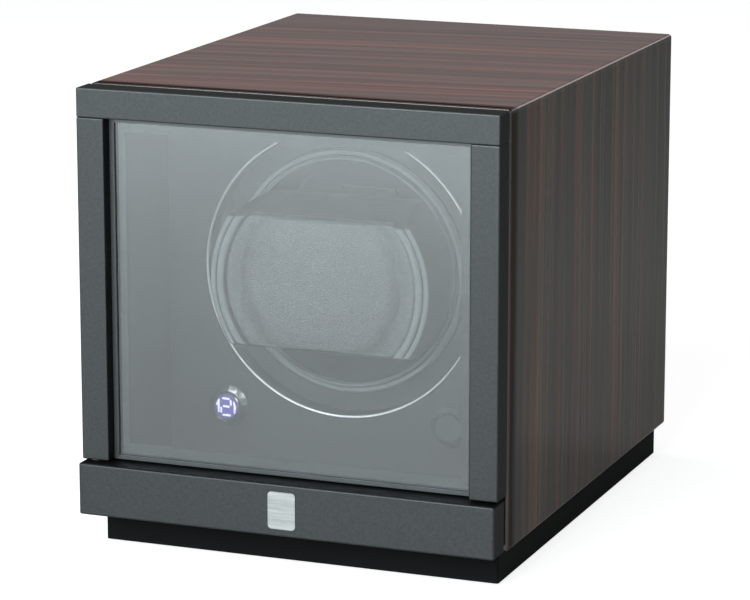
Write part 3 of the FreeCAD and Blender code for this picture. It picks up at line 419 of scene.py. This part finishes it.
def grained(name, rough, cells, patch, depth, **plain):
    """A hide or leatherette that still wants its colour: creases matt, cell tops smoother. Gives the finish,
    its tree, the socket for the colour and a mask of the cell tops."""
    finish, tree, surface = new_finish(name)
    sockets = {"Vector": own_place(tree), "Cells": cells, "Patch": patch}
    effect = add(tree, "Group", sockets, node_tree=GRAIN).outputs
    feed(tree, surface.inputs["Roughness"], between(tree, effect["Worn"], rough[1], rough[0]))
    feed(tree, surface.inputs["Normal"], relief(tree, effect["Height"], depth))
    settle(surface, **plain)
    return finish, tree, surface.inputs["Base Color"], effect["Worn"]


leatherette, tree, colour, worn = grained("lining leatherette", rough=(0.6, 0.7), cells=1900, patch=60,
                                          depth=0.000004, Specular_IOR_Level=0.3)
feed(tree, colour, tint(tree, worn, (0.007, 0.0075, 0.008), (0.0095, 0.0102, 0.0106)))
coat(leatherette, "baffle_panel", "liner_left", "liner_right", "liner_top", "liner_bottom")

# Trim ring: a thin half-round ring, polished and chromed, pressed on the edge of the baffle's opening.
# It frames the mouth of the cup and stands a little proud of the lining.
axis_height = 110.2
baffle_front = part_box("baffle_panel")[0][1] / MM


def plated(name, dark, light, rough):
    """A polished and plated metal, with hardly any tooth."""
    return mottled(name, dark, light, rough, patch=300, tooth=1500, depth=0.000004, metal=1.0)


def half_round_ring(steps=320, sections=22):
    """A half ellipse turned about the rotor's axis; a flat back closes it."""
    middle, half_width, stand = 60.3, 0.5, 0.8
    bend = np.linspace(0, np.pi, sections)[:, None]
    turn = np.linspace(0, 2 * np.pi, steps, endpoint=False)
    radius, depth = middle + half_width * np.cos(bend), baffle_front - stand * np.sin(bend)
    return turned(0, axis_height, radius, depth, turn)


bright = plated("bright ring", (0.97, 0.92, 0.88), (1, 0.96, 0.92), rough=(0.4, 0.48))
ring_points = half_round_ring()
ring_faces = grid_faces(*ring_points.shape[:2], closed=True)
ring = mesh_piece("polished_ring", ring_points, ring_faces, bright, "case")
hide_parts("trim_ring")

# Rotor: a satin black moulded cup on a disc, with a plated lip and a rib round its mouth, pressed on a steel
# shaft that runs in a brass bush; a collar keeps it from coming forward.
lip_start, lip_end = -0.0418, -0.0412
cup_black, tree, surface = new_finish("satin black cup")
tooth = add(tree, "Group", {"Vector": own_place(tree), "Tooth": 1600}, node_tree=MOTTLE).outputs["Height"]
lip = between(tree, own_axes(tree)["Y"], 1, 0, lip_start, lip_end)
feed(tree, surface.inputs["Base Color"], tint(tree, lip, (0.004, 0.0042, 0.0044), (0.15, 0.158, 0.161)))
feed(tree, surface.inputs["Metallic"], between(tree, lip, 0, 0.7))
feed(tree, surface.inputs["Roughness"], between(tree, lip, 0.7, 0.42))
feed(tree, surface.inputs["Normal"], relief(tree, tooth, 0.000006))
settle(surface, Specular_IOR_Level=0.4)
brass = drawn("turned brass", (0.55, 0.4, 0.16), (0.72, 0.55, 0.26), rough=(0.22, 0.36),
              stretch=(60, 600, 60))
coat(cup_black, "rotor_cup")
coat(steel, "rotor_shaft", "retaining_collar")
coat(brass, "bearing_bush")

# Drive: an acetal gear on the rotor's shaft, a brass pinion on the motor's output, and the geared motor
# on a plate that stands off the bulkhead.
coat(acetal, "drive_gear")
coat(brass, "motor_pinion")
coat(steel, "output_shaft", "motor_bracket", "bracket_posts", "bracket_screws", "motor")
coat(moulded, "motor_gearbox")

# Watch holder: a moulded core wrapped in smooth leatherette with a rolled rim at each end, felt grips where
# it meets the cup, and a bent spring strip behind it for the strap.
rim_start, rim_end = -0.0745, -0.0739
holder_wrap, tree, colour = grained("holder leatherette", rough=(0.45, 0.55), cells=2200, patch=45,
                                    depth=0.00001, Specular_IOR_Level=0.08)[:3]
# Painted sheen: the rolled rims take a much paler colour than the rest of the same leatherette, for the light
# they catch.
rim = between(tree, own_axes(tree)["Y"], 1, 0, rim_start, rim_end)
feed(tree, colour, tint(tree, rim, (0.004, 0.0042, 0.0045), (0.105, 0.11, 0.112)))
coat(holder_wrap, "holder_core")
coat(felt, "grip_pads")
coat(blackened, "tension_bow")

# Front pad: soft leather drawn over a foam core and tucked in between the two rolls, crowned in the middle,
# with a shallow valley before each end where the leather is pulled down.
pad_seat = -70.05


def bell(distance, middle, width):
    """A smooth bump of height 1 at the middle: e to the minus square of the distance over the width."""
    return np.exp(-((distance - middle) / width) ** 2)


def pad_surface(rings=64, steps=400):
    """Rings from the middle out to a two-arc outline and back under it; the rise over the seat is a dome,
    less a valley and small puckers round each end, times a round edge, and the underside is flat."""
    half_length, half_height, bow, squareness = 41.5, 27.4, 0.4, 40.0
    end_round, side_round, welt, crown = 1.4, 1.2, 1.6, 5.2
    valley_depth, valley_radius, valley_width = 1.8, 35.4, 3.6
    pucker_height, pucker_radius, pucker_width = 0.07, 38.6, 1.7
    tucked_under = np.array([0.985, 1, 0.975])
    angle = np.linspace(2 * np.pi, 0, steps, endpoint=False)
    long_side = half_height - bow * np.sin(angle) ** 2
    straight = long_side / np.maximum(np.abs(np.sin(angle)), 1e-6)
    reach = (half_length ** -squareness + straight ** -squareness) ** (-1 / squareness)
    share = np.sin(np.linspace(0.01, 1, rings) * np.pi / 2)[:, None]
    x, z = share * reach * np.cos(angle), share * reach * np.sin(angle)
    end = np.sqrt(np.clip(half_length ** 2 - z ** 2, 0, None)) - np.abs(x)
    side = long_side - np.abs(z)
    inset = np.minimum(np.clip(end, 0, None) / end_round, np.clip(side, 0, None) / side_round)
    inset = np.clip(np.where(share > 0.9999, 0, inset), 0, 1)
    edge = np.sqrt(1 - (1 - inset) ** 2)
    away, along, up = np.hypot(x, z), x / 33, z / 27
    dome = crown - 1.3 * along ** 2 - 0.4 * up ** 2 - np.where(z < 0, 2.2, 1) * np.abs(up) ** 3
    valley = valley_depth * bell(away, valley_radius, valley_width) * (1 - 0.5 * up ** 2)
    folds = np.sin(52 * angle + 3 * np.sin(5 * angle))
    pucker = pucker_height * folds * bell(away, pucker_radius, pucker_width)
    rise = welt + (dome - valley + pucker - welt) * edge
    front = np.stack([x, -rise, z], -1)
    under = np.stack([x, np.zeros_like(x), z], -1)[::-1] * tucked_under
    return np.concatenate([front, under])


def distance_of(tree, spot):
    """How far a place lies from the zero of its coordinates."""
    return add(tree, "VectorMath", {0: spot}, operation="LENGTH").outputs["Value"]


pad_points = pad_surface() * MM + np.array([0, pad_seat, axis_height]) * MM
pad_rings, pad_steps = pad_points.shape[:2]
pad_leather, tree, colour, worn = grained("pad leather", rough=(0.42, 0.54), cells=900, patch=90,
                                          depth=0.0002)
away = distance_of(tree, own_place(tree, (1, 0, 1), (0, 0, -axis_height * MM)))
# Painted shade: the pad's colour darkens in the valley before each end, where the pulled-down leather lies in
# shade.
valley_start, floor_start, floor_end, valley_end = 0.0275, 0.0352, 0.0358, 0.0405
painted_valley_shade_in = between(tree, away, 0, 0.6, valley_start, floor_start, "SMOOTHSTEP")
painted_valley_shade_out = between(tree, away, 0, 1, valley_end, floor_end, "SMOOTHSTEP")
hide = tint(tree, worn, (0.016, 0.017, 0.0177), (0.125, 0.132, 0.136))
feed(tree, colour, tint(tree, sums(tree, "MULTIPLY", painted_valley_shade_in, painted_valley_shade_out), hide, (0.014, 0.015, 0.0155)))
pad_faces = grid_faces(pad_rings, pad_steps) + ring_ends(pad_rings, pad_steps)
pad = mesh_piece("leather_pad", pad_points, pad_faces, pad_leather, "watch_holder")
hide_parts("front_pad")

# Buttons: plated caps with a round window in the end, sliding in the baffle inside a turned, sloping collar.
# The left one is bright and shows a lit violet figure between two turning marks; the right one is dark.
chrome = plated("polished chrome", (0.78, 0.78, 0.79), (0.88, 0.88, 0.88), rough=(0.12, 0.2))
satin = plated("satin chrome", (0.5, 0.5, 0.51), (0.56, 0.56, 0.56), rough=(0.12, 0.2))
black_chrome = plated("black chrome", (0.03, 0.03, 0.032), (0.05, 0.05, 0.052), rough=(0.42, 0.5))
black_window = mottled("black window", (0.006, 0.0065, 0.007), (0.01, 0.0105, 0.011), rough=(0.4, 0.5),
                       patch=120, tooth=1500, depth=0.00001)
coat(chrome, "display_button")
coat(black_chrome, "light_button")
coat(black_window, "light_window")
window_low, window_high = (np.array(corner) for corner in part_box("display_window"))
window_spot = (window_low + window_high) / 2 / MM


def collar(x, z, steps=160):
    """A ring section turned about a button's axis: straight sides, and a sloping front between two rounded
    edges."""
    inner, outer, edge, lean, setback = 6.4, 8.7, 0.2, math.radians(37), 0.95
    front = window_spot[1] + setback
    fall = (outer - inner - 2 * edge) * math.tan(lean)
    first, last = np.linspace(0, np.pi / 2 + lean, 14), np.linspace(lean, np.pi / 2, 10)
    radius = np.concatenate([[inner], inner + edge - edge * np.cos(first),
                             outer - edge + edge * np.sin(last), [outer, outer]])
    depth = np.concatenate([[baffle_front], front + edge - edge * np.sin(first),
                            front + edge + fall - edge * np.cos(last), [baffle_front - edge, baffle_front]])
    turn = np.linspace(2 * np.pi, 0, steps, endpoint=False)
    return turned(x, z, radius[:, None], depth[:, None], turn)


for name, side, finish in (("display_collar", 1, satin), ("light_collar", -1, black_chrome)):
    section = collar(side * window_spot[0], window_spot[2])
    mesh_piece(name, section, grid_faces(*section.shape[:2], closed=True), finish, "case")

glow_start, glow_end = 0.0012, 0.0052
lit_window, tree, surface = new_finish("lit window")
away = distance_of(tree, own_place(tree, shift=tuple(-window_spot * MM)))
glow = sums(tree, "MULTIPLY", between(tree, away, 1, 0.45, glow_start, glow_end),
            between(tree, cloud(tree, own_place(tree), 700, 2), 0.75, 1.1))
feed(tree, surface.inputs["Base Color"], tint(tree, glow, (0.012, 0.01, 0.03), (0.05, 0.04, 0.16)))
feed(tree, surface.inputs["Emission Color"], tint(tree, glow, (0.014, 0.011, 0.06), (0.1, 0.08, 0.42)))
settle(surface, Emission_Strength=0.8, Roughness=0.15)
coat(lit_window, "display_window")


def bar(start, end, width):
    """A lit bar: a lozenge-ended strip from start to end in the window's plane, in millimetres."""
    start, end = np.array(start, float), np.array(end, float)
    along = (end - start) / np.linalg.norm(end - start)
    side = np.array([-along[1], along[0]]) * width / 2
    neck = along * width / 2
    return [start, start + neck + side, end - neck + side, end, end - neck - side, start + neck - side]


LEFT_MARK = [(-4.65, 0.55), (-3.5, 2.95), (-2.95, 3.1), (-2.95, -2.6), (-3.7, -2.75), (-3.85, 0.2)]
RIGHT_MARK = [(3.35, 2.6), (3.85, 2.35), (4.5, 0.3), (4.3, -2.6), (3.5, -2.85), (3.45, 0)]
FIGURE = [((-1.9, 3.5), (1.9, 3.35), 0.95), ((2.1, 3.1), (2.25, 0.4), 0.9),
          ((-1.6, 0.15), (1.8, -0.05), 0.9), ((-2.2, -0.2), (-2.2, -3.0), 0.85),
          ((-1.8, -3.6), (2.3, -3.7), 0.95)]
figure_thickness = 0.03
outlines = np.array([LEFT_MARK, RIGHT_MARK, *(bar(*item) for item in FIGURE)])
figure_front = np.full(outlines.shape[:2], window_low[1] / MM - figure_thickness)
figure_points = np.stack([outlines[..., 0] + window_spot[0], figure_front,
                          outlines[..., 1] + window_spot[2]], -1) * MM
figure_faces = np.arange(figure_front.size).reshape(figure_front.shape).tolist()
lit_figure, tree, surface = new_finish("lit figure")
even = cloud(tree, own_place(tree), 900, 2)
feed(tree, surface.inputs["Emission Color"], tint(tree, even, (0.6, 0.58, 0.8), (0.85, 0.84, 0.92)))
feed(tree, surface.inputs["Base Color"], tint(tree, even, (0.3, 0.28, 0.5), (0.4, 0.38, 0.6)))
settle(surface, Emission_Strength=1.0)
figure = mesh_piece("lit_figure", figure_points, figure_faces, lit_figure, "display_button")
figure.modifiers.new("thickness", "SOLIDIFY").thickness = figure_thickness * MM

# Circuit boards: green lacquered glass-fibre boards, one behind the baffle with the buttons' switches and
# one on the floor of the drive room with its soldered components. Both stand on moulded posts.
coat(mottled("green board", (0.008, 0.06, 0.025), (0.016, 0.1, 0.04), rough=(0.3, 0.45),
             patch=120, tooth=2500, depth=0.00002),
     "button_board", "control_board")
coat(moulded, "button_switches", "button_board_posts", "control_board_posts", "control_components")

# Room: a pale floor and a plain grey surround, lit by a broad soft box in front on the left and by weaker
# ones overhead, in front on the right, and behind for the edges of the case. The camera looks from where
# the photograph was taken.
floor_fill, floor_shine = 0.05, 0.77
bpy.ops.mesh.primitive_plane_add(size=14)
floor = bpy.context.object
floor.name = "floor"
pale, tree, surface = new_finish("pale floor")
path = add(tree, "LightPath").outputs
seen = sums(tree, "MAXIMUM", path["Is Camera Ray"], path["Is Glossy Ray"])
seen = sums(tree, "MAXIMUM", seen, path["Is Transmission Ray"])
direct = sums(tree, "MULTIPLY", path["Is Camera Ray"], floor_shine)
feed(tree, surface.inputs["Emission Strength"], sums(tree, "MULTIPLY_ADD", seen, floor_fill, direct))
settle(surface, Base_Color=(0.5, 0.5, 0.5, 1), Roughness=1, Specular_IOR_Level=0, Emission_Color=(1, 1, 1, 1))
floor.data.materials.append(pale)

world = bpy.data.worlds.new("surround")
world.use_nodes = True
tree = world.node_tree
upward = add(tree, "SeparateXYZ", {0: add(tree, "TexCoord").outputs["Generated"]}).outputs["Z"]
grey = between(tree, upward, 0, 1, 0.25, 0.75)
feed(tree, tree.nodes["Background"].inputs["Color"], tint(tree, grey, (0.25, 0.25, 0.25), (0.06, 0.06, 0.06)))
bpy.context.scene.world = world


def lamp(name, spot, aim, size, watts, colour=(1, 1, 1)):
    """A square soft box at a spot, turned to face a point."""
    data = bpy.data.lights.new(name, "AREA")
    data.size = size
    data.energy = watts
    data.color = colour
    item = bpy.data.objects.new(name, data)
    item.location = spot
    away = np.array(aim, float) - np.array(spot, float)
    tilt = math.atan2(math.hypot(away[0], away[1]), -away[2])
    item.rotation_euler = (tilt, 0, math.atan2(-away[0], away[1]))
    bpy.context.scene.collection.objects.link(item)


MIDDLE, TOP = (0, 0, 0.1), (0, 0, 0.19)
lamp("front box", spot=(-0.35, -1.65, 0.93), aim=MIDDLE, size=1.4, watts=52, colour=(0.86, 1, 1.04))
lamp("top box", spot=(-0.5, 0.12, 1.6), aim=TOP, size=0.5, watts=5)
lamp("side box", spot=(1.25, -1.1, 1.1), aim=MIDDLE, size=0.8, watts=4.5)
lamp("edge box", spot=(0.53, 1.85, 0.93), aim=TOP, size=0.7, watts=1.7)

camera = bpy.data.cameras.new("camera")
camera.lens = 165.5
camera.sensor_width = 36
viewer = bpy.data.objects.new("camera", camera)
viewer.location = (0.51945, -1.3365, 0.41486)
viewer.rotation_euler = (math.radians(90 - 12.8174), 0, math.radians(21.4365))
bpy.context.scene.collection.objects.link(viewer)
bpy.context.scene.camera = viewer
bpy.context.scene.view_settings.view_transform = "Standard"
